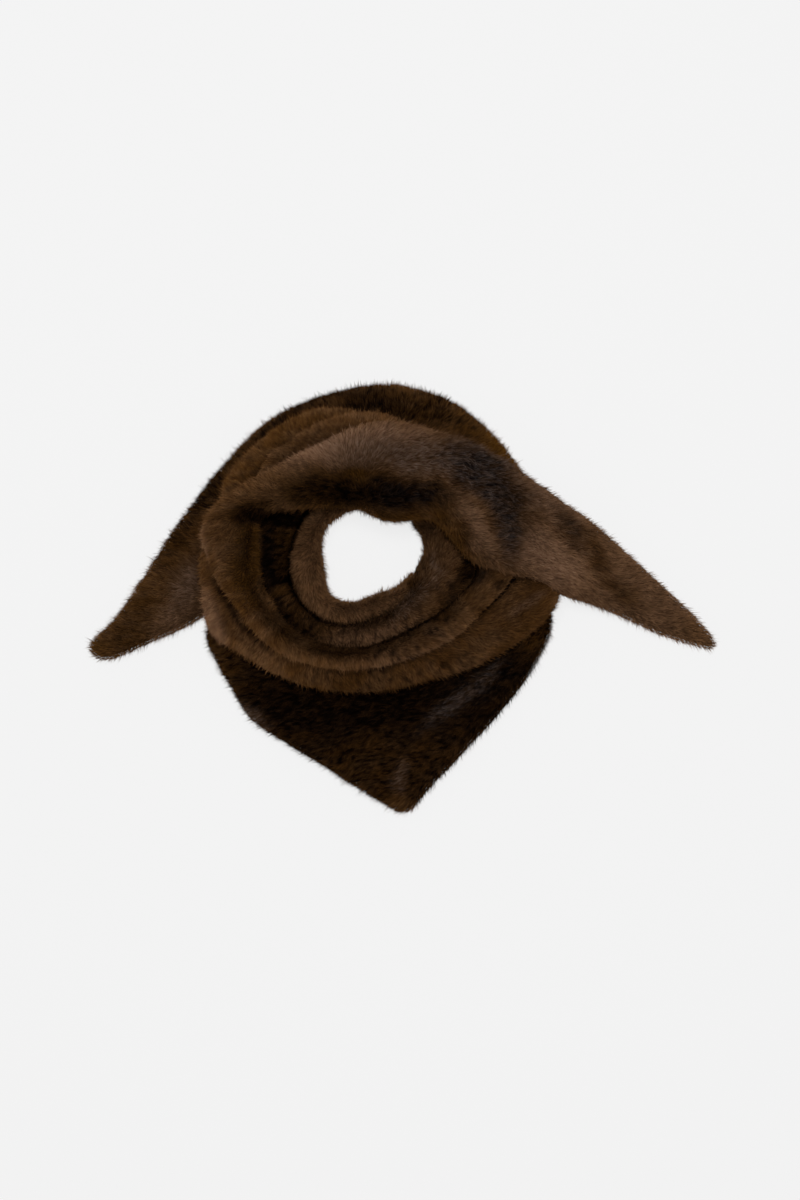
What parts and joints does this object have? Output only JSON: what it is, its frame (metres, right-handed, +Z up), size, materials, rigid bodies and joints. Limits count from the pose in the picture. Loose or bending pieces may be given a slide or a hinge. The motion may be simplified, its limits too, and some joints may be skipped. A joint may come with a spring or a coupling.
{
  "type": "faux-fur collar wrap scarf",
  "caption": "Triangular faux-fur neck scarf wound once into a soft collar and laid flat, with a front point and two tapered ends.",
  "frame": {"origin": "middle of the laid-out scarf's bounding box, on the surface it lies on", "axes": "+Z up from the surface, +Y from the front point towards the back of the neck, +X towards the upper, right-hand end"},
  "size_m": [0.534, 0.361, 0.0642],
  "materials": {
    "faux_fur": "dense short pile with a soft sheen, brown brindled with near-black"
  },
  "bodies": {
    "root": {"front_point": "faux_fur", "left_end": "faux_fur", "neck_roll": "faux_fur", "inner_fold": "faux_fur", "outer_fold": "faux_fur", "middle_fold": "faux_fur", "back_fold_outer": "faux_fur", "back_fold_inner": "faux_fur", "right_end": "faux_fur"}
  },
  "joints": []
}
